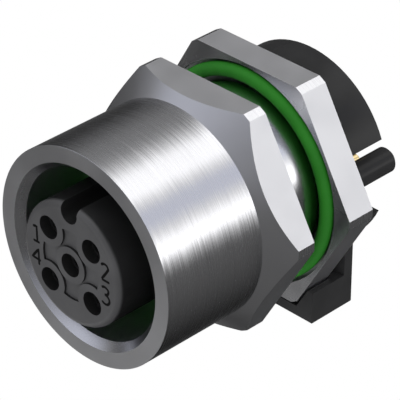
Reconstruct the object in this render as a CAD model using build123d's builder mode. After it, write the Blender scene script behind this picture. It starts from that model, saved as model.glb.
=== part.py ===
from build123d import *
import math
import os

# Round five-pole panel socket with a board side. The axis of the connector is Y: the mating face
# looks along -Y and the solder tails point along +Y. The origin is on the axis, in the plane of the
# hexagon flange that the panel seats against. +Z is up and the foot hangs down. Millimetres.

os.makedirs("parts", exist_ok=True)

# Panel, hexagons and thread
panel_space = 3.0  # between the sleeve's hexagon and the flange
hex_flats = 15.0  # across flats, both hexagons
hex_turned_dia = 17.0  # the corners are turned down to this
thread_dia = 12.0  # M12 x 1, crests of the outside thread
thread_minor_dia = 10.92  # M12 x 1, crests of the inside thread
thread_clearance = 0.06  # between the two thread cores, on the radius

# Threaded sleeve
sleeve_dia = 13.9
sleeve_length = 10.2  # mouth to the back of its hexagon
collar_length = 7.5  # mouth to the start of the hexagon's cone
nose_angle = 42.0  # of that cone, from the mouth's plane
mouth_chamfer_dia = 11.8
mouth_chamfer_depth = 0.54
back_chamfer_dia = 12.1
back_chamfer_depth = 0.54

# Hexagon body
flange_thickness = 2.0
thread_engagement = 3.0  # length of shank inside the sleeve
shank_chamfer = 0.25
relief_dia = 11.92  # undercut behind the thread, inside the panel ring
relief_length = 0.55  # of the undercut, forward of the flange's plane
groove_outer_dia = 14.54
groove_depth = 0.57
recess_depth = 0.96  # at the back of the flange, for the spacer
insert_clearance = 0.06  # round the insert, on the radius
collar_clearance = 0.05  # round the insert's collar and the spacer, on the radius
shoulder_depth = 4.2  # from the flange's plane forward to the step that stops the insert

# Sealing rings
panel_ring_section = 0.9
panel_ring_floor_gap = 0.02  # from the groove's floor to the ring
mating_ring_section = 1.15
mating_ring_inner_gap = 0.05  # from the insert's seat to the ring, on the radius
mating_ring_outer_gap = 0.06  # from the ring to the sleeve's thread, on the radius
insert_ring_section = 0.8  # along the axis
insert_ring_height = 0.5  # squeezed, across its groove
insert_ring_chamfer = 0.18
insert_ring_groove_width = 1.0
insert_ring_place = 2.6  # middle of the groove, forward of the flange's plane

# Contact insert
insert_dia = 8.0
insert_seat_lead = 0.1  # of the step that carries the mating ring, in front of the ring
insert_collar_dia = 9.4
insert_projection = 1.0  # of the face, in front of the sleeve's mouth
insert_rim_radius = 0.4
insert_rear = 0.3  # back of the collar, behind the flange's plane
pitch_circle_dia = 5.0
face_hole_dia = 1.48
face_hole_depth = 0.72
pin_entry_dia = 1.1
pin_entry_length = 0.5
face_pocket_dia = 4.6
face_pocket_depth = 0.15
outer_boss_dia = 2.44
centre_boss_dia = 2.36
key_width = 1.31
key_bottom = 2.83  # from the axis to the bottom of the key groove
key_length = 6.4

# Contacts
socket_dia = 1.8
socket_length = 8.0
socket_bore_dia = 1.06
socket_bore_depth = 6.5
socket_slot_width = 0.22
socket_slot_length = 5.0
socket_tip_chamfer = 0.15
contact_clearance = 0.03  # in the insert's cavities, on the radius
contact_waist_dia = 1.3
contact_collar_dia = 2.1
contact_collar_length = 0.8
tail_root_dia = 1.2  # through the spacer's plate
tail_root_beyond_plate = 0.25
tail_dia = 0.8
tail_beyond_board = 2.65
tail_tip_chamfer = 0.18
tail_clearance = 0.05  # in the spacer, on the radius

# Board-side spacer
board_plane = 5.5  # the spacer's seat on the board, behind the flange's plane
spacer_dia = 12.96
spacer_wall = 1.1
spacer_plate = 0.8
spacer_boss_clearance = 0.15  # in the body's stepped bore, on the radius
side_slot_height = 5.0
peg_dia = 1.65
peg_spacing = 10.0
peg_beyond_board = 1.7
peg_tip_chamfer = 0.15
peg_root_radius = 0.2
foot_width = 11.42
foot_bottom = 8.37  # below the axis
foot_setback = 0.05  # of the foot's front, behind the flange's panel face
foot_back = 3.56  # behind the flange's panel face
foot_top = 6.12  # below the axis, top of the foot's side blocks
foot_hex_gap = 0.13  # round the flange's lower flats
foot_gap = 0.06  # behind the flange
foot_web = 0.7  # rear plate that joins the foot and the round shell
foot_edge_radius = 0.12

# Planes that several pieces share, along Y
sleeve_back = -panel_space
mouth_plane = sleeve_back - sleeve_length
face_plane = mouth_plane - insert_projection
shank_front = sleeve_back - thread_engagement
shoulder_plane = -shoulder_depth
recess_floor = flange_thickness - recess_depth
plate_back = recess_floor + spacer_plate
cavity_front = face_plane + face_hole_depth + pin_entry_length
tail_end = board_plane + tail_beyond_board
peg_end = board_plane + peg_beyond_board
foot_seat = flange_thickness + foot_gap

# Radii that several pieces share
bore_radius = thread_minor_dia / 2
root_radius = bore_radius - thread_clearance
crest_radius = thread_dia / 2
turned_radius = hex_turned_dia / 2
insert_radius = insert_dia / 2
collar_radius = insert_collar_dia / 2
collar_hole_radius = collar_radius + collar_clearance
ring_groove_radius = collar_hole_radius - insert_ring_height
spacer_radius = spacer_dia / 2
recess_radius = spacer_radius + collar_clearance
shell_inner_radius = spacer_radius - spacer_wall

# Mating ring inside the sleeve, and the insert's step that carries it and fits the body's bore
mating_ring_radius = bore_radius - mating_ring_outer_gap - mating_ring_section / 2
insert_seat_radius = mating_ring_radius - mating_ring_section / 2 - mating_ring_inner_gap
insert_hole_radius = insert_seat_radius + insert_clearance
seat_plane = shank_front - mating_ring_section - insert_seat_lead

# Where the contacts are, as (X, Z): four on the pitch circle and one in the middle
square_half = pitch_circle_dia / 2 / math.sqrt(2)
contact_places = [
    (-square_half, square_half),
    (square_half, square_half),
    (square_half, -square_half),
    (-square_half, -square_half),
    (0, 0),
]


def front_view(y):
    """Plane across the axis at y, seen from the mating side: its x is X and its y is Z."""
    return Plane(origin=(0, y, 0), x_dir=(1, 0, 0), z_dir=(0, -1, 0))


# Threaded sleeve: a turned collar that grows by a cone into a hexagon
nose_back = mouth_plane + collar_length
cone_length = (turned_radius - sleeve_dia / 2) * math.tan(math.radians(nose_angle))
with BuildPart() as threaded_sleeve:
    with BuildSketch(Plane.XY):
        with BuildLine():
            Polyline(
                (bore_radius, mouth_plane + mouth_chamfer_depth),
                (mouth_chamfer_dia / 2, mouth_plane),
                (sleeve_dia / 2, mouth_plane),
                (sleeve_dia / 2, nose_back),
                (turned_radius, nose_back + cone_length),
                (turned_radius, sleeve_back),
                (back_chamfer_dia / 2, sleeve_back),
                (bore_radius, sleeve_back - back_chamfer_depth),
                close=True,
            )
        make_face()
    revolve(axis=Axis.Y)
    with BuildSketch(front_view(mouth_plane)):
        RegularPolygon(radius=hex_flats / 2, side_count=6, major_radius=False, rotation=0)
    extrude(amount=-sleeve_length, mode=Mode.INTERSECT)
threaded_sleeve.part.label = "threaded_sleeve"
export_step(threaded_sleeve.part, "parts/threaded_sleeve.step")


# Hexagon body: shank with the outside thread, ring groove, flange and the stepped bore
step_front = sleeve_back - back_chamfer_depth + thread_clearance
step_back = step_front + crest_radius - root_radius
with BuildPart() as hex_body:
    with BuildSketch(Plane.XY):
        with BuildLine():
            Polyline(
                (insert_hole_radius, shank_front),
                (root_radius - shank_chamfer, shank_front),
                (root_radius, shank_front + shank_chamfer),
                (root_radius, step_front),
                (crest_radius, step_back),
                (crest_radius, -relief_length),
                (relief_dia / 2, -relief_length),
                (relief_dia / 2, groove_depth),
                (groove_outer_dia / 2, groove_depth),
                (groove_outer_dia / 2, 0),
                (turned_radius, 0),
                (turned_radius, flange_thickness),
                (recess_radius, flange_thickness),
                (recess_radius, recess_floor),
                (collar_hole_radius, recess_floor),
                (collar_hole_radius, shoulder_plane),
                (insert_hole_radius, shoulder_plane),
                close=True,
            )
        make_face()
    revolve(axis=Axis.Y)
    with BuildSketch(front_view(shank_front)):
        RegularPolygon(radius=hex_flats / 2, side_count=6, major_radius=False, rotation=0)
    extrude(amount=shank_front - flange_thickness, mode=Mode.INTERSECT)
hex_body.part.label = "hex_body"
export_step(hex_body.part, "parts/hex_body.step")


# Panel ring, on the floor of the flange's groove and midway between its walls
panel_ring_radius = (relief_dia + groove_outer_dia) / 4
panel_ring_plane = groove_depth - panel_ring_floor_gap - panel_ring_section / 2
with BuildPart() as panel_ring:
    with BuildSketch(Plane.XY):
        with Locations((panel_ring_radius, panel_ring_plane)):
            Circle(panel_ring_section / 2)
    revolve(axis=Axis.Y)
panel_ring.part.label = "panel_ring"
export_step(panel_ring.part, "parts/panel_ring.step")


# Mating ring, round the insert against the end of the shank
with BuildPart() as mating_ring:
    with BuildSketch(Plane.XY):
        with Locations((mating_ring_radius, shank_front - mating_ring_section / 2)):
            Circle(mating_ring_section / 2)
    revolve(axis=Axis.Y)
mating_ring.part.label = "mating_ring"
export_step(mating_ring.part, "parts/mating_ring.step")


# Insert ring, squeezed flat in its groove between the insert's collar and the body
with BuildPart() as insert_ring:
    with BuildSketch(Plane.XY):
        with Locations((ring_groove_radius + insert_ring_height / 2, -insert_ring_place)):
            Rectangle(insert_ring_height, insert_ring_section)
        chamfer(vertices(), insert_ring_chamfer)
    revolve(axis=Axis.Y)
insert_ring.part.label = "insert_ring"
export_step(insert_ring.part, "parts/insert_ring.step")


# Contact insert: keyed nose, relieved face, five stepped cavities and a stop collar
cavity_dia = socket_dia + 2 * contact_clearance
collar_cavity_dia = contact_collar_dia + 2 * contact_clearance
groove_half = insert_ring_groove_width / 2
with BuildPart() as contact_insert:
    with BuildSketch(Plane.XY):
        with BuildLine():
            Polyline(
                (0, insert_rear),
                (0, face_plane),
                (insert_radius - insert_rim_radius, face_plane),
            )
            RadiusArc(
                (insert_radius - insert_rim_radius, face_plane),
                (insert_radius, face_plane + insert_rim_radius),
                -insert_rim_radius,
            )
            Polyline(
                (insert_radius, face_plane + insert_rim_radius),
                (insert_radius, seat_plane),
                (insert_seat_radius, seat_plane),
                (insert_seat_radius, shoulder_plane),
                (collar_radius, shoulder_plane),
                (collar_radius, -insert_ring_place - groove_half),
                (ring_groove_radius, -insert_ring_place - groove_half),
                (ring_groove_radius, -insert_ring_place + groove_half),
                (collar_radius, -insert_ring_place + groove_half),
                (collar_radius, insert_rear),
                (0, insert_rear),
            )
        make_face()
    revolve(axis=Axis.Y)
    # Shallow round pocket in the face that leaves a flat boss round each hole
    with BuildSketch(front_view(face_plane)):
        Circle(face_pocket_dia / 2)
        Circle(centre_boss_dia / 2, mode=Mode.SUBTRACT)
        with Locations(*contact_places[:4]):
            Circle(outer_boss_dia / 2, mode=Mode.SUBTRACT)
    extrude(amount=-face_pocket_depth, mode=Mode.SUBTRACT)
    # Key groove with a round bottom, along the top of the nose
    key_centre = key_bottom + key_width / 2
    with BuildSketch(front_view(face_plane)):
        with Locations((0, key_centre)):
            Circle(key_width / 2)
            Rectangle(key_width, insert_radius, align=(Align.CENTER, Align.MIN))
    extrude(amount=-key_length, mode=Mode.SUBTRACT)
    # Face holes, pin entries, and cavities from behind
    with BuildSketch(front_view(face_plane)):
        with Locations(*contact_places):
            Circle(face_hole_dia / 2)
    extrude(amount=-face_hole_depth, mode=Mode.SUBTRACT)
    with BuildSketch(front_view(face_plane)):
        with Locations(*contact_places):
            Circle(pin_entry_dia / 2)
    extrude(amount=-(face_hole_depth + pin_entry_length), mode=Mode.SUBTRACT)
    with BuildSketch(front_view(insert_rear)):
        with Locations(*contact_places):
            Circle(cavity_dia / 2)
    extrude(amount=insert_rear - cavity_front, mode=Mode.SUBTRACT)
    with BuildSketch(front_view(insert_rear)):
        with Locations(*contact_places):
            Circle(collar_cavity_dia / 2)
    extrude(amount=contact_collar_length, mode=Mode.SUBTRACT)
contact_insert.part.label = "contact_insert"
export_step(contact_insert.part, "parts/contact_insert.step")


# Board-side spacer: foot round the flange's lower flats, plate in its recess, half shells and pegs
foot_top_reach = shell_inner_radius + spacer_wall / 2
with BuildPart() as board_spacer:
    # Foot: a block that takes the flange's lower flats, so that the flange can't turn in it
    with BuildSketch(front_view(foot_setback)):
        with Locations((0, -foot_bottom)):
            Rectangle(foot_width, foot_bottom - foot_top, align=(Align.CENTER, Align.MIN))
    extrude(amount=foot_setback - foot_back)
    with BuildSketch(front_view(foot_setback)):
        RegularPolygon(
            radius=hex_flats / 2 + foot_hex_gap, side_count=6, major_radius=False, rotation=0
        )
    extrude(amount=foot_setback - foot_seat, mode=Mode.SUBTRACT)
    # Its rear plate rises to the round shell
    with BuildSketch(front_view(foot_back - foot_web)):
        with Locations((0, -foot_bottom)):
            Rectangle(foot_width, foot_bottom, align=(Align.CENTER, Align.MIN))
        Circle(foot_top_reach, mode=Mode.SUBTRACT)
        Rectangle(2 * spacer_dia, side_slot_height, mode=Mode.SUBTRACT)
    extrude(amount=-foot_web)
    foot_corners = edges().filter_by(Axis.X).group_by(Axis.Z)[0]
    foot_corners += edges().filter_by(Axis.Y).group_by(Axis.Z)[0]
    fillet(foot_corners, foot_edge_radius)
    # Boss in the body's bore and plate in the flange's recess
    with BuildSketch(front_view(insert_rear)):
        Circle(collar_hole_radius - spacer_boss_clearance)
    extrude(amount=insert_rear - plate_back)
    with BuildSketch(front_view(recess_floor)):
        Circle(spacer_radius)
    extrude(amount=recess_floor - plate_back)
    # Two half shells, open at both sides
    with BuildSketch(front_view(plate_back)):
        Circle(spacer_radius)
        Circle(shell_inner_radius, mode=Mode.SUBTRACT)
        Rectangle(2 * spacer_dia, side_slot_height, mode=Mode.SUBTRACT)
    extrude(amount=plate_back - board_plane)
    # Locating pegs on the plate
    with BuildSketch(front_view(plate_back)):
        with GridLocations(peg_spacing, 0, 2, 1):
            Circle(peg_dia / 2)
    extrude(amount=plate_back - peg_end)
    peg_circles = edges().filter_by(lambda edge: edge.geom_type == GeomType.CIRCLE)
    peg_circles = peg_circles.filter_by(lambda edge: abs(edge.radius - peg_dia / 2) < 1e-6)
    chamfer(peg_circles.group_by(Axis.Y)[-1], peg_tip_chamfer)
    fillet(peg_circles.group_by(Axis.Y)[0], peg_root_radius)
    # Holes for the tails
    with BuildSketch(front_view(insert_rear)):
        with Locations(*contact_places):
            Circle(tail_root_dia / 2 + tail_clearance)
    extrude(amount=insert_rear - plate_back, mode=Mode.SUBTRACT)
board_spacer.part.label = "board_spacer"
export_step(board_spacer.part, "parts/board_spacer.step")


def contact_profile():
    """Half section of one turned contact on the Y axis, from the socket's mouth to the tail's tip."""
    mouth = cavity_front
    collar_front = insert_rear - contact_collar_length
    bore_end = mouth + socket_bore_depth
    return [
        (0, bore_end),
        (socket_bore_dia / 2, bore_end),
        (socket_bore_dia / 2, mouth + socket_tip_chamfer),
        (socket_bore_dia / 2 + socket_tip_chamfer, mouth),
        (socket_dia / 2 - socket_tip_chamfer / 2, mouth),
        (socket_dia / 2, mouth + socket_tip_chamfer / 2),
        (socket_dia / 2, mouth + socket_length),
        (contact_waist_dia / 2, mouth + socket_length),
        (contact_waist_dia / 2, collar_front),
        (contact_collar_dia / 2, collar_front),
        (contact_collar_dia / 2, insert_rear),
        (tail_root_dia / 2, insert_rear),
        (tail_root_dia / 2, plate_back + tail_root_beyond_plate),
        (tail_dia / 2, plate_back + tail_root_beyond_plate),
        (tail_dia / 2, tail_end - tail_tip_chamfer),
        (tail_dia / 2 - tail_tip_chamfer, tail_end),
        (0, tail_end),
    ]


# Contacts: a slotted socket in front, a stop collar and a solder tail behind
for number, (place_x, place_z) in enumerate(contact_places, start=1):
    with BuildPart() as contact:
        with BuildSketch(Plane(origin=(place_x, 0, place_z))):
            with BuildLine():
                Polyline(*contact_profile(), close=True)
            make_face()
        revolve(axis=Axis((place_x, 0, place_z), (0, 1, 0)))
        with BuildSketch(front_view(cavity_front)):
            with Locations((place_x, place_z)):
                Rectangle(socket_slot_width, 2 * socket_dia)
        extrude(amount=-socket_slot_length, mode=Mode.SUBTRACT)
    contact.part.label = f"contact_{number}"
    export_step(contact.part, f"parts/contact_{number}.step")
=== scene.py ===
import math

import bpy
import numpy as np
from mathutils import Matrix, Vector


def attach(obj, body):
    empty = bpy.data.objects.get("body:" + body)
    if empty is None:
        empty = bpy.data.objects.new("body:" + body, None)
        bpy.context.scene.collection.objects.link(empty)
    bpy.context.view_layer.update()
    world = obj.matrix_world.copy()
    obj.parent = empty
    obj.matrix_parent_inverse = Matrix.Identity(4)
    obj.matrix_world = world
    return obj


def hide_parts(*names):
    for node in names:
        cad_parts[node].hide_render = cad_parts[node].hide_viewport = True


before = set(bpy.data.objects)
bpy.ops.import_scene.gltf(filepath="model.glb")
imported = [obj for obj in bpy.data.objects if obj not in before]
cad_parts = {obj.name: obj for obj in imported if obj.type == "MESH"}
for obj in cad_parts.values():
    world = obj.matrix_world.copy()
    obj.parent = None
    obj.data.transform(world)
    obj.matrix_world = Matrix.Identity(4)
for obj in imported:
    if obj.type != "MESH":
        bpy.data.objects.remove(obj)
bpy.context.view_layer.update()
MM = 0.001


# ---------------------------------------------------------------- sizes, in millimetres

# Places along Y count from the plane of the flange's front, and the mating face looks along -Y.

# Both hexagons, milled on a round bar that leaves their corners turned
flat_apothem = 7.5
turned_corner = 8.5

# Threaded sleeve: mouth, collar, cone, hexagon and bore
mouth_plane = -13.2
mouth_chamfer_radius = 5.9
mouth_edge = 0.012  # bevel on the collar's front edge
collar_radius = 6.95
collar_length = 7.5
cone_angle = 42.0  # degrees between the cone and a plane across the axis
sleeve_back = -3.0
back_chamfer_radius = 6.05
bore_radius = 5.46
bore_chamfer = 0.54  # along Y, at both ends of the bore

# Flange body: shank, relief inside the panel ring, ring groove, flange, recess and stepped bore
shank_front = -6.0
shank_radius = 6.0
shank_chamfer = 0.25
thread_root_radius = 5.4
thread_end = -3.48
relief_radius = 5.96
relief_front = -0.55
groove_radius = 7.27
groove_floor = 0.57
flange_back = 2.0
recess_radius = 6.53
recess_floor = 1.04
collar_bore_radius = 4.75
shoulder_plane = -4.2
insert_bore_radius = 4.26

# Contact insert's face, and the lowest point of the spacer's foot
face_plane = -14.2
foot_bottom = -8.37

# Contact numbers: a rounded stroke, and how far its root is sunk into the face
stroke_half = 0.085
stroke_height = 0.008
stroke_root = 0.004

# Finish of each turned band, as a place in the list of nickels. A HEXAGON band is FLAT on its
# milled flats and COLLAR on its turned corners.
COLLAR, FLAT, FACED, GAP, SHANK, BORE, HEXAGON = range(7)


# ---------------------------------------------------------------- surfaces

sharp_edge = math.radians(20.0)


def make_piece(name, points, faces, materials, face_material=None):
    """A mesh object at the origin from points in millimetres, sharp at edges over sharp_edge."""
    mesh = bpy.data.meshes.new(name)
    faces = faces if isinstance(faces, list) else faces.tolist()
    mesh.from_pydata((points * MM).tolist(), [], faces)
    for material in materials:
        mesh.materials.append(material)
    if face_material is not None:
        mesh.polygons.foreach_set("material_index", face_material.astype(np.int32))
    mesh.polygons.foreach_set("use_smooth", np.ones(len(faces), bool))
    mesh.update()
    mesh.validate()
    mesh.set_sharp_from_angle(angle=sharp_edge)
    piece = bpy.data.objects.new(name, mesh)
    bpy.context.scene.collection.objects.link(piece)
    return piece


def strip_faces(rows, columns, closed):
    """Quads between the points of a grid. The last column joins the first, and where closed is
    true the last row joins the first."""
    i, j = np.meshgrid(np.arange(rows if closed else rows - 1), np.arange(columns), indexing="ij")
    i2, j2 = (i + 1) % rows, (j + 1) % columns
    quads = np.stack([i * columns + j, i2 * columns + j, i2 * columns + j2, i * columns + j2], -1)
    return quads.reshape(-1, 4)


def hexagon_radius(angle):
    """Distance from the axis to the hexagon with turned corners: apothem / cos(angle from the
    nearest flat's normal), and no more than the turned corner."""
    from_normal = np.mod(angle, math.radians(60)) - math.radians(30)
    return np.minimum(flat_apothem / np.cos(from_normal), turned_corner)


def hexagon_angles(count=360):
    """Evenly spaced angles with the edges of the six turned corners put in exactly."""
    corner_half = math.acos(flat_apothem / turned_corner)
    edges = [math.radians(30 + 60 * k) + side * corner_half for k in range(6) for side in (-1, 1)]
    even = np.linspace(0, 2 * math.pi, count, endpoint=False)
    angles = np.unique(np.round(np.concatenate([even, np.mod(edges, 2 * math.pi)]), 9))
    apart = np.diff(np.append(angles, angles[0] + 2 * math.pi)) > 1e-4
    return angles[apart]


def signed_volume(points, faces):
    """Six times the volume inside a quad mesh, positive where its faces point outwards."""
    a, b, c, d = (points[faces[:, k]] for k in range(4))
    return np.einsum("ij,ij->", a, np.cross(b, c)) + np.einsum("ij,ij->", a, np.cross(c, d))


def turned_piece(name, profile, materials):
    """A closed surface turned round the Y axis: x = r cos(angle), z = r sin(angle), y = place.
    profile is a list of rows, each (radius or function of angle, place along Y or function of
    angle, finish of the band after it)."""
    angle = hexagon_angles()
    radius, along, band = (list(part) for part in zip(*profile))
    radius = np.array([r(angle) if callable(r) else np.full_like(angle, r) for r in radius])
    along = np.array([y(angle) if callable(y) else np.full_like(angle, y) for y in along])
    band = np.array(band)
    points = np.stack([radius * np.cos(angle), along, radius * np.sin(angle)], -1).reshape(-1, 3)
    faces = strip_faces(*radius.shape, closed=True)
    middle = angle + 0.5 * np.mod(np.roll(angle, -1) - angle, 2 * math.pi)
    turned = hexagon_radius(middle) > turned_corner - 1e-6
    finish = np.where(band == HEXAGON, FLAT, band)[:, None]
    finish = np.where((band == HEXAGON)[:, None] & turned[None, :], COLLAR, finish)
    if signed_volume(points, faces) < 0:
        faces = faces[:, ::-1]
    return make_piece(name, points, faces, materials, finish.ravel())


# ---------------------------------------------------------------- nodes

noise_low, noise_high = 0.3, 0.7


def feed(tree, socket, value):
    """Links an output to the socket, or sets a plain value on it."""
    if isinstance(value, bpy.types.NodeSocket):
        tree.links.new(value, socket)
    else:
        socket.default_value = value


def fed_node(tree, kind, **values):
    """A node with its sockets fed. A socket's name has spaces where the keyword has underscores."""
    node = tree.nodes.new(kind)
    for socket, value in values.items():
        feed(tree, node.inputs[socket.replace("_", " ")], value)
    return node


def calculate(tree, operation, *values, kind="ShaderNodeMath"):
    """The result of a math operation on the values."""
    node = tree.nodes.new(kind)
    node.operation = operation
    for socket, value in zip(node.inputs, values):
        feed(tree, socket, value)
    return node.outputs["Value"] if operation == "DOT_PRODUCT" else node.outputs[0]


def vector_math(tree, operation, *values):
    """The result of a vector operation on the values."""
    return calculate(tree, operation, *values, kind="ShaderNodeVectorMath")


def axes(tree, vector):
    """The X, Y and Z parts of a position or a direction."""
    return fed_node(tree, "ShaderNodeSeparateXYZ", Vector=vector).outputs


def noise(tree, position, scale, detail, roughness=0.5):
    """Noise of the position. Nearly all of it lies between noise_low and noise_high."""
    node = fed_node(
        tree, "ShaderNodeTexNoise", Vector=position, Scale=scale, Detail=detail, Roughness=roughness
    )
    return node.outputs["Fac"]


def change_range(tree, mask, low, high, to_low, to_high):
    """Carries a mask from one range to another."""
    node = fed_node(
        tree, "ShaderNodeMapRange",
        Value=mask, From_Min=low, From_Max=high, To_Min=to_low, To_Max=to_high,
    )
    return node.outputs["Result"]


def mix_colors(tree, mask, low, high, start=0.0, end=1.0):
    """Colour that goes from low to high while the mask goes from start to end."""
    node = fed_node(tree, "ShaderNodeValToRGB", Fac=mask)
    for element, place, color in zip(node.color_ramp.elements, (start, end), (low, high)):
        element.position = place
        element.color = (*color, 1.0)
    return node.outputs["Color"]


def mix_shaders(tree, mask, first, second):
    """The first shader where the mask is zero and the second where it is one."""
    node = fed_node(tree, "ShaderNodeMixShader", Fac=mask)
    tree.links.new(first.outputs[0], node.inputs[1])
    tree.links.new(second.outputs[0], node.inputs[2])
    return node


def new_group(name, inputs, outputs):
    """An empty node group with named sockets, its input node and its output node."""
    group = bpy.data.node_groups.new(name, "ShaderNodeTree")
    for in_out, sockets in (("INPUT", inputs), ("OUTPUT", outputs)):
        for socket, kind in sockets.items():
            group.interface.new_socket(socket, in_out=in_out, socket_type="NodeSocket" + kind)
    return group, group.nodes.new("NodeGroupInput"), group.nodes.new("NodeGroupOutput")


def lathe_line_group():
    """Fine lathe lines round the Y axis: noise that changes quickly along Y and slowly with the
    angle. Each line also tilts the surface a little round the axis: normal + tilt x (noise - 0.5) x
    (normal cross Y)."""
    group, given, result = new_group(
        "lathe_lines",
        {
            "Position": "Vector",
            "Lines per metre": "Float",
            "Surface normal": "Vector",
            "Tilt": "Float",
        },
        {"Height": "Float", "Tilted normal": "Vector"},
    )
    slow = 160.0  # changes per metre across the axis
    place = axes(group, given.outputs["Position"])
    stretched = fed_node(
        group, "ShaderNodeCombineXYZ",
        X=calculate(group, "MULTIPLY", place["X"], slow),
        Y=calculate(group, "MULTIPLY", place["Y"], given.outputs["Lines per metre"]),
        Z=calculate(group, "MULTIPLY", place["Z"], slow),
    ).outputs[0]
    fine = noise(group, stretched, scale=1.0, detail=3.0, roughness=0.65)
    wide = noise(group, stretched, scale=0.4, detail=4.0, roughness=0.7)
    feed(group, result.inputs["Height"], fine)
    centred = calculate(group, "SUBTRACT", wide, 0.5)
    amount = calculate(group, "MULTIPLY", centred, given.outputs["Tilt"])
    normal = given.outputs["Surface normal"]
    round_axis = vector_math(group, "CROSS_PRODUCT", normal, (0, 1, 0))
    tilted = vector_math(group, "MULTIPLY_ADD", round_axis, amount, normal)
    feed(group, result.inputs["Tilted normal"], vector_math(group, "NORMALIZE", tilted))
    return group


def fine_grain_group():
    """Grain of a moulded or plated surface, the same in every direction, and a cloud of tone."""
    group, given, result = new_group(
        "fine_grain",
        {"Position": "Vector", "Grains per metre": "Float"},
        {"Height": "Float", "Cloud": "Float"},
    )
    place = given.outputs["Position"]
    grain = noise(group, place, given.outputs["Grains per metre"], detail=2.0)
    cloud = noise(group, place, scale=420.0, detail=3.0)
    feed(group, result.inputs["Height"], grain)
    feed(group, result.inputs["Cloud"], cloud)
    return group


def place_group(tree, group, **values):
    """A group node that is fed with Object coordinates and the values."""
    node = tree.nodes.new("ShaderNodeGroup")
    node.node_tree = group
    place = tree.nodes.new("ShaderNodeTexCoord")
    feed(tree, node.inputs["Position"], place.outputs["Object"])
    for socket, value in values.items():
        feed(tree, node.inputs[socket.replace("_", " ")], value)
    return node


# ---------------------------------------------------------------- materials

nickel = (0.72, 0.72, 0.74)
lathe_lines = lathe_line_group()
fine_grain = fine_grain_group()


def new_material(name, color, roughness, metallic=0.0, **sockets):
    """A Principled material, its node tree and its shader. Values that are the same all over go on
    the shader's own sockets."""
    material = bpy.data.materials.new(name)
    material.use_nodes = True
    shader = material.node_tree.nodes["Principled BSDF"]
    sockets.update(Base_Color=(*color, 1.0), Roughness=roughness, Metallic=metallic)
    for socket, value in sockets.items():
        shader.inputs[socket.replace("_", " ")].default_value = value
    return material, material.node_tree, shader


def vary_roughness(tree, shader, mask, roughness, spread):
    """Roughness that changes with the mask by the spread to either side."""
    low, high = roughness - spread, roughness + spread
    varied = change_range(tree, mask, noise_low, noise_high, low, high)
    feed(tree, shader.inputs["Roughness"], varied)


def add_grain(tree, shader, height, depth):
    """A bump of the grain, with its depth in metres."""
    bump = fed_node(tree, "ShaderNodeBump", Height=height, Distance=depth, Strength=1.0)
    feed(tree, shader.inputs["Normal"], bump.outputs["Normal"])


def turned_nickel(name, roughness, tilt):
    """Nickel over fine lathe lines, which draw the highlights out along the axis."""
    material, tree, shader = new_material(
        name, nickel, roughness, 1.0, Anisotropic=0.9, Anisotropic_Rotation=0.25
    )
    surface = tree.nodes.new("ShaderNodeNewGeometry")
    lines = place_group(
        tree, lathe_lines,
        Lines_per_metre=26000.0, Tilt=tilt, Surface_normal=surface.outputs["Normal"],
    )
    feed(tree, shader.inputs["Normal"], lines.outputs["Tilted normal"])
    height = lines.outputs["Height"]
    groove, ridge = (0.62, 0.62, 0.64), (0.84, 0.84, 0.86)
    color = mix_colors(tree, height, groove, ridge, noise_low, noise_high)
    feed(tree, shader.inputs["Base Color"], color)
    vary_roughness(tree, shader, height, roughness, spread=0.05)
    tangent = tree.nodes.new("ShaderNodeTangent")
    tangent.direction_type = "RADIAL"
    tangent.axis = "Y"
    feed(tree, shader.inputs["Tangent"], tangent.outputs["Tangent"])
    return material


def satin_metal(name, color, roughness):
    """Plated metal with a fine even grain."""
    material, tree, shader = new_material(name, color, roughness, 1.0)
    grain = place_group(tree, fine_grain, Grains_per_metre=9000.0)
    cloud = grain.outputs["Cloud"]
    low, high = ([c * tone for c in color] for tone in (0.95, 1.05))
    feed(tree, shader.inputs["Base Color"], mix_colors(tree, cloud, low, high))
    vary_roughness(tree, shader, cloud, roughness, spread=0.03)
    add_grain(tree, shader, grain.outputs["Height"], depth=0.0000015)
    return material


def moulded(name, color, roughness, **sockets):
    """Moulded plastic or rubber: small changes of tone and roughness over a fine grain."""
    material, tree, shader = new_material(name, color, roughness, **sockets)
    grain = place_group(tree, fine_grain, Grains_per_metre=7000.0)
    cloud = grain.outputs["Cloud"]
    low, high = ([c * tone for c in color] for tone in (0.88, 1.12))
    varied = mix_colors(tree, cloud, low, high, noise_low, noise_high)
    feed(tree, shader.inputs["Base Color"], varied)
    vary_roughness(tree, shader, cloud, roughness, spread=0.05)
    add_grain(tree, shader, grain.outputs["Height"], depth=0.000003)
    return material


def paint_shade_behind_face(material):
    """Painted shade on moulded plastic: the walls, holes and recesses behind the face are darkened
    as shade, while the face keeps its colour. Unshaded share = (how far the surface faces the
    mouth) x (one at the face, falling to nothing behind it). The colour is darkened down to the
    darkest tone where the unshaded share is nothing."""
    squarely, sideways = -0.45, -0.02  # Y of the normal
    shade_start, shade_end = (face_plane + 0.2) * MM, (face_plane + 0.5) * MM
    darkest = 0.2
    tree = material.node_tree
    base_color = tree.nodes["Principled BSDF"].inputs["Base Color"]
    plain = base_color.links[0].from_socket
    place = tree.nodes.new("ShaderNodeTexCoord")
    facing, behind = (axes(tree, place.outputs[kind])["Y"] for kind in ("Normal", "Object"))
    front = change_range(tree, facing, squarely, sideways, 1.0, 0.0)
    near = change_range(tree, behind, shade_start, shade_end, 1.0, 0.0)
    unshaded = calculate(tree, "MULTIPLY", front, near)
    tone = change_range(tree, unshaded, 0.0, 1.0, darkest, 1.0)
    feed(tree, base_color, vector_math(tree, "MULTIPLY", plain, tone))


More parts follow.
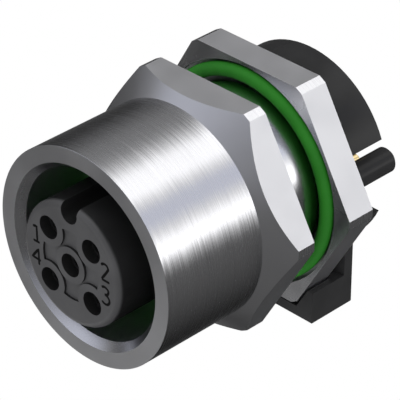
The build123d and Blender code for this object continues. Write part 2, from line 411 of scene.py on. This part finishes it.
nickels = [
    turned_nickel("turned_nickel", 0.27, 0.16),
    satin_metal("flat_nickel", (0.78, 0.78, 0.8), 0.48),
    satin_metal("faced_nickel", nickel, 0.36),
    satin_metal("gap_nickel", nickel, 0.26),
    satin_metal("shank_nickel", nickel, 0.17),
    satin_metal("bore_nickel", nickel, 0.45),
]
green_seal = moulded("green_seal", (0.025, 0.2, 0.019), 0.55, Specular_IOR_Level=0.12)
insert_plastic = moulded("insert_plastic", (0.059, 0.059, 0.062), 0.42, Specular_IOR_Level=0.4)
# Painted shade on the insert's walls, holes and recesses behind its face
paint_shade_behind_face(insert_plastic)
spacer_plastic = moulded("spacer_plastic", (0.032, 0.032, 0.033), 0.2, Specular_IOR_Level=0.12)
# The near-black of the number strokes is painted shade, standing in for the shade inside engraved
# digits
number_painted_shade = moulded("number_painted_shade", (0.003, 0.003, 0.003), 0.6, Specular_IOR_Level=0.1)
gold_plate = satin_metal("gold_plate", (0.8, 0.63, 0.33), 0.22)


# ---------------------------------------------------------------- threaded sleeve and flange body

cone_start = mouth_plane + collar_length
thread_run_out = thread_end + shank_radius - thread_root_radius


def cone_end(angle):
    """Where the cone runs out into the hexagon: its start + growth in radius x tan(cone angle)."""
    return cone_start + (hexagon_radius(angle) - collar_radius) * math.tan(math.radians(cone_angle))


sleeve = turned_piece("sleeve_turned", [
    (bore_radius, mouth_plane + bore_chamfer, GAP),
    (mouth_chamfer_radius, mouth_plane, FACED),
    (collar_radius - mouth_edge, mouth_plane, FACED),
    (collar_radius, mouth_plane + mouth_edge, COLLAR),
    (collar_radius, cone_start, FACED),
    (hexagon_radius, cone_end, HEXAGON),
    (hexagon_radius, sleeve_back, GAP),
    (back_chamfer_radius, sleeve_back, GAP),
    (bore_radius, sleeve_back - bore_chamfer, BORE),
], nickels)
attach(sleeve, "root")
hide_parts("threaded_sleeve")

body = turned_piece("body_turned", [
    (insert_bore_radius, shank_front, FLAT),
    (thread_root_radius - shank_chamfer, shank_front, FLAT),
    (thread_root_radius, shank_front + shank_chamfer, FLAT),
    (thread_root_radius, thread_end, SHANK),
    (shank_radius, thread_run_out, SHANK),
    (shank_radius, relief_front, SHANK),
    (relief_radius, relief_front, SHANK),
    (relief_radius, groove_floor, FLAT),
    (groove_radius, groove_floor, FACED),
    (groove_radius, 0.0, GAP),
    (hexagon_radius, 0.0, HEXAGON),
    (hexagon_radius, flange_back, FACED),
    (recess_radius, flange_back, FLAT),
    (recess_radius, recess_floor, FLAT),
    (collar_bore_radius, recess_floor, FLAT),
    (collar_bore_radius, shoulder_plane, FLAT),
    (insert_bore_radius, shoulder_plane, FLAT),
], nickels)
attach(body, "root")
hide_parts("hex_body")


# ---------------------------------------------------------------- contact numbers

# Paths of the strokes on the insert's face, as (x, z). A straight path keeps its corners, and a
# bent one is rounded.
number_strokes = [
    ("straight", [(-3.12, 1.29), (-2.80, 1.39), (-2.77, 0.34)]),
    ("straight", [(-3.12, 0.33), (-2.56, 0.34)]),
    ("straight", [(-2.69, -1.25), (-2.70, -0.16), (-3.24, -0.86), (-2.51, -0.88)]),
    ("bent", [
        (2.60, 1.27), (2.69, 1.39), (2.87, 1.45), (3.06, 1.40), (3.15, 1.25), (3.11, 1.08),
        (2.61, 0.35),
    ]),
    ("straight", [(2.61, 0.34), (3.26, 0.33)]),
    ("bent", [
        (2.60, -0.22), (2.72, -0.14), (2.90, -0.12), (3.10, -0.21), (3.14, -0.39), (3.03, -0.56),
        (2.82, -0.62),
    ]),
    ("bent", [
        (2.82, -0.62), (3.05, -0.67), (3.21, -0.86), (3.18, -1.09), (3.00, -1.25), (2.78, -1.25),
        (2.58, -1.14),
    ]),
]


def bent_path(corners, steps=8):
    """Points on the curve through the corners. Between two corners it is the cubic whose slope at
    each corner is half the step from the corner before to the corner after."""
    c = np.array(corners, float)
    c = np.vstack([2 * c[0] - c[1], c, 2 * c[-1] - c[-2]])
    t = np.linspace(0, 1, steps, endpoint=False)[None, :, None]
    p0, p1, p2, p3 = (c[k:len(c) - 3 + k][:, None, :] for k in range(4))
    run = 0.5 * (
        2 * p1
        + (p2 - p0) * t
        + (2 * p0 - 5 * p1 + 4 * p2 - p3) * t**2
        + (3 * p1 - p0 - 3 * p2 + p3) * t**3
    )
    return np.vstack([run.reshape(-1, 2), c[-2]])


def straight_path(corners, steps=6):
    """Points spread evenly along each straight run between the corners."""
    c = np.array(corners, float)
    t = np.linspace(0, 1, steps, endpoint=False)[None, :, None]
    run = c[:-1][:, None, :] * (1 - t) + c[1:][:, None, :] * t
    return np.vstack([run.reshape(-1, 2), c[-1]])


def stroke_surface(path, first_point, cap_points=5, arch_points=7, least_width=0.02):
    """A low rounded rib along a path on the face: across it, height = h x sqrt(1 - (offset / half
    width) squared). The half width falls to nearly nothing in a quarter circle at both ends."""
    place = np.concatenate([[0], np.cumsum(np.linalg.norm(np.diff(path, axis=0), axis=1))])
    length = place[-1]
    cap = stroke_half * (1 - np.cos(np.linspace(0, math.pi / 2, cap_points)))
    inner = place[(place > stroke_half) & (place < length - stroke_half)]
    lead = np.concatenate([cap, inner, length - cap[::-1]])
    centre = np.stack([np.interp(lead, place, path[:, k]) for k in range(2)], 1)
    along = np.gradient(centre, axis=0)
    along /= np.linalg.norm(along, axis=1)[:, None]
    side = np.stack([-along[:, 1], along[:, 0]], 1)
    from_end = np.clip(np.minimum(lead, length - lead) / stroke_half, 0, 1)
    half = stroke_half * np.sqrt(np.clip(1 - (1 - from_end) ** 2, least_width**2, 1))
    across = np.cos(np.linspace(0, math.pi, arch_points))
    rise = np.append(stroke_height * np.sqrt(1 - across**2), [-stroke_root, -stroke_root])
    across = np.append(across, [-1, 1])
    flat = centre[:, None, :] + side[:, None, :] * (half[:, None] * across)[..., None]
    lower_at_ends = np.where(rise > 0, half[:, None] / stroke_half, 1.0)
    high = np.broadcast_to(rise, flat.shape[:2]) * lower_at_ends
    points = np.stack([flat[..., 0], face_plane - high, flat[..., 1]], -1)
    rows, columns = points.shape[:2]
    ends = [range(columns), reversed(range((rows - 1) * columns, rows * columns))]
    faces = strip_faces(rows, columns, closed=False).tolist() + [list(end) for end in ends]
    return points.reshape(-1, 3), [[corner + first_point for corner in face] for face in faces]


number_points, number_faces = [], []
for kind, corners in number_strokes:
    path = bent_path(corners) if kind == "bent" else straight_path(corners)
    points, faces = stroke_surface(path, sum(len(part) for part in number_points))
    number_points.append(points)
    number_faces += faces
# The strokes carry the painted shade of engraved digits
numbers = make_piece("contact_numbers", np.vstack(number_points), number_faces, [number_painted_shade])
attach(numbers, "root")


# ---------------------------------------------------------------- finishes of the other pieces

finishes = {
    "threaded_sleeve": nickels[FLAT],
    "hex_body": nickels[FLAT],
    "panel_ring": green_seal,
    "mating_ring": green_seal,
    "insert_ring": green_seal,
    "contact_insert": insert_plastic,
    "board_spacer": spacer_plastic,
    "contact_1": gold_plate,
    "contact_2": gold_plate,
    "contact_3": gold_plate,
    "contact_4": gold_plate,
    "contact_5": gold_plate,
}
for node_name, finish in finishes.items():
    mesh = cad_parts[node_name].data
    if mesh.materials:
        mesh.materials[0] = finish
    else:
        mesh.materials.append(finish)


# ---------------------------------------------------------------- floor

floor_half = 400.0
floor_gap = 0.02  # under the foot


def floor_paper():
    """White where the camera sees it from above. Seen from below, and to light and reflections, the
    floor is clear, because in the photograph the connector's underside mirrors a dark room."""
    material = bpy.data.materials.new("floor_paper")
    material.use_nodes = True
    tree = material.node_tree
    tree.nodes.clear()
    to_camera = tree.nodes.new("ShaderNodeLightPath").outputs["Is Camera Ray"]
    from_below = tree.nodes.new("ShaderNodeNewGeometry").outputs["Backfacing"]
    above = calculate(tree, "MULTIPLY", to_camera, calculate(tree, "SUBTRACT", 1.0, from_below))
    clear = tree.nodes.new("ShaderNodeBsdfTransparent")
    white = tree.nodes.new("ShaderNodeEmission")
    output = tree.nodes.new("ShaderNodeOutputMaterial")
    feed(tree, output.inputs["Surface"], mix_shaders(tree, above, clear, white).outputs[0])
    return material


floor_corners = np.array([(-1, -1), (1, -1), (1, 1), (-1, 1)]) * floor_half
floor_points = np.column_stack([floor_corners, np.full(4, foot_bottom - floor_gap)])
floor = make_piece("floor", floor_points, [[0, 1, 2, 3]], [floor_paper()])


# ---------------------------------------------------------------- camera

# Where the photograph was taken from, and how far the picture's centre lies to the right of the
# middle of the mouth and above it
view_azimuth = math.radians(45.04)
view_elevation = math.radians(32.5)
view_distance = 149.04
centre_right, centre_up = 6.658, 3.337

back = Vector((
    math.sin(view_azimuth) * math.cos(view_elevation),
    -math.cos(view_azimuth) * math.cos(view_elevation),
    math.sin(view_elevation),
))
right = Vector((math.cos(view_azimuth), math.sin(view_azimuth), 0.0))
up = back.cross(right)
looked_at = Vector((0, mouth_plane, 0)) + right * centre_right + up * centre_up
camera_data = bpy.data.cameras.new("camera")
camera_data.sensor_width = 36.0
camera_data.lens = 235.28
camera_data.clip_start = 0.01
camera_data.clip_end = 5.0
camera = bpy.data.objects.new("camera", camera_data)
camera.matrix_world = Matrix((right, up, back)).transposed().to_4x4()
camera.location = (looked_at + back * view_distance) * MM
bpy.context.scene.collection.objects.link(camera)
bpy.context.scene.camera = camera


# ---------------------------------------------------------------- light

# Light level by angle round the connector's axis, from +X through the top, in three belts: in
# front of the connector, beside it and behind it. Each stop is (angle, level), or (angle, level,
# tint) where the light is cool.
WHITE, COOL = (1.0, 1.0, 1.0), (0.92, 0.95, 1.08)
front_belt = [
    (-180, 0.0), (-136, 0.0), (-120, 1.05), (-106, 0.2), (-80, 0.13), (-40, 0.1), (-12, 0.07),
    (5, 0.05), (30, 0.3, COOL), (60, 0.45, COOL), (110, 0.78, COOL), (148, 0.72, COOL),
    (160, 0.4), (172, 0.0), (180, 0.0),
]
side_belt = [
    (-180, 0.14), (-152, 0.0), (-136, 1.4), (-118, 0.0), (-90, 0.07), (-60, 0.0), (0, 0.0),
    (10, 0.4), (20, 0.0), (60, 0.0), (70, 0.9), (80, 1.9), (90, 2.55), (100, 1.7), (110, 0.6),
    (120, 0.12), (160, 0.12), (180, 0.14),
]
back_belt = [
    (-180, 0.0), (-150, 0.12), (-130, 0.12), (-108, 0.0), (-90, 0.0), (-10, 0.15), (0, 0.85),
    (9, 2.8), (20, 2.35), (30, 1.4), (40, 1.12, COOL), (52, 1.1, COOL), (60, 1.35), (70, 2.1),
    (80, 1.8), (90, 1.65), (100, 0.7), (112, 0.25), (135, 0.25), (150, 0.12), (168, 0.03),
    (180, 0.0),
]
# Each belt's middle, as the Y of a direction
belts = [(front_belt, -0.5), (side_belt, 0.0), (back_belt, 0.5)]
# Even light from the front and from the back, and a small lamp straight ahead, each as (level,
# middle, half width)
spots = [(0.16, -1.0, 0.5), (0.13, 1.0, 0.5), (0.9, -1.0, 0.06)]
brightest = 4.0

# Soft light on plastic and rubber: even, and a little more from above and in front
soft_level, soft_lean = 0.84, (0.03, -0.52, 0.14)


def belt_weight(tree, along, centre, half_width=0.5):
    """One at the belt's centre, falling evenly to zero at half_width along the axis."""
    away = calculate(tree, "ABSOLUTE", calculate(tree, "SUBTRACT", along, centre))
    inside = calculate(tree, "SUBTRACT", 1.0, calculate(tree, "DIVIDE", away, half_width))
    return calculate(tree, "MAXIMUM", inside, 0.0)


def belt_color(tree, turn, stops):
    """Colour by angle, divided by the brightest level to keep the ramp between zero and one."""
    ramp = fed_node(tree, "ShaderNodeValToRGB", Fac=turn)
    elements = ramp.color_ramp.elements
    for number, (degrees, level, *tint) in enumerate(stops):
        place = (degrees + 180) / 360
        stop = elements[number] if number < 2 else elements.new(place)
        stop.position = place
        stop.color = (*(level / brightest * part for part in (tint[0] if tint else WHITE)), 1)
    return ramp.outputs["Color"]


def light_studio():
    """The room round the connector. Reflections see the belts and the spots, plastic and rubber get
    the soft light, and the camera sees white."""
    world = bpy.data.worlds.new("studio")
    bpy.context.scene.world = world
    world.use_nodes = True
    world.cycles.sampling_method = "NONE"
    tree = world.node_tree
    tree.nodes.clear()
    ray = tree.nodes.new("ShaderNodeTexCoord").outputs["Generated"]
    ray_parts = axes(tree, ray)
    along = ray_parts["Y"]
    ray_angle = calculate(tree, "ARCTAN2", ray_parts["Z"], ray_parts["X"])
    turn = calculate(tree, "MULTIPLY_ADD", ray_angle, 0.5 / math.pi, 0.5)
    total = (0, 0, 0)
    for stops, centre in belts:
        color, weight = belt_color(tree, turn, stops), belt_weight(tree, along, centre)
        total = vector_math(tree, "MULTIPLY_ADD", weight, color, total)
    for level, centre, half_width in spots:
        weight = belt_weight(tree, along, centre, half_width)
        total = vector_math(tree, "MULTIPLY_ADD", weight, (level / brightest,) * 3, total)
    lean = calculate(tree, "ADD", vector_math(tree, "DOT_PRODUCT", ray, soft_lean), soft_level)
    studio = fed_node(tree, "ShaderNodeBackground", Color=total, Strength=brightest)
    soft = fed_node(tree, "ShaderNodeBackground", Color=lean, Strength=1.0)
    backdrop = fed_node(tree, "ShaderNodeBackground", Color=(1, 1, 1, 1), Strength=1.0)
    ray_kind = tree.nodes.new("ShaderNodeLightPath")
    lit = mix_shaders(tree, ray_kind.outputs["Is Diffuse Ray"], studio, soft)
    seen = mix_shaders(tree, ray_kind.outputs["Is Camera Ray"], lit, backdrop)
    output = tree.nodes.new("ShaderNodeOutputWorld")
    feed(tree, output.inputs["Surface"], seen.outputs[0])


light_studio()
bpy.context.scene.view_settings.view_transform = "Standard"
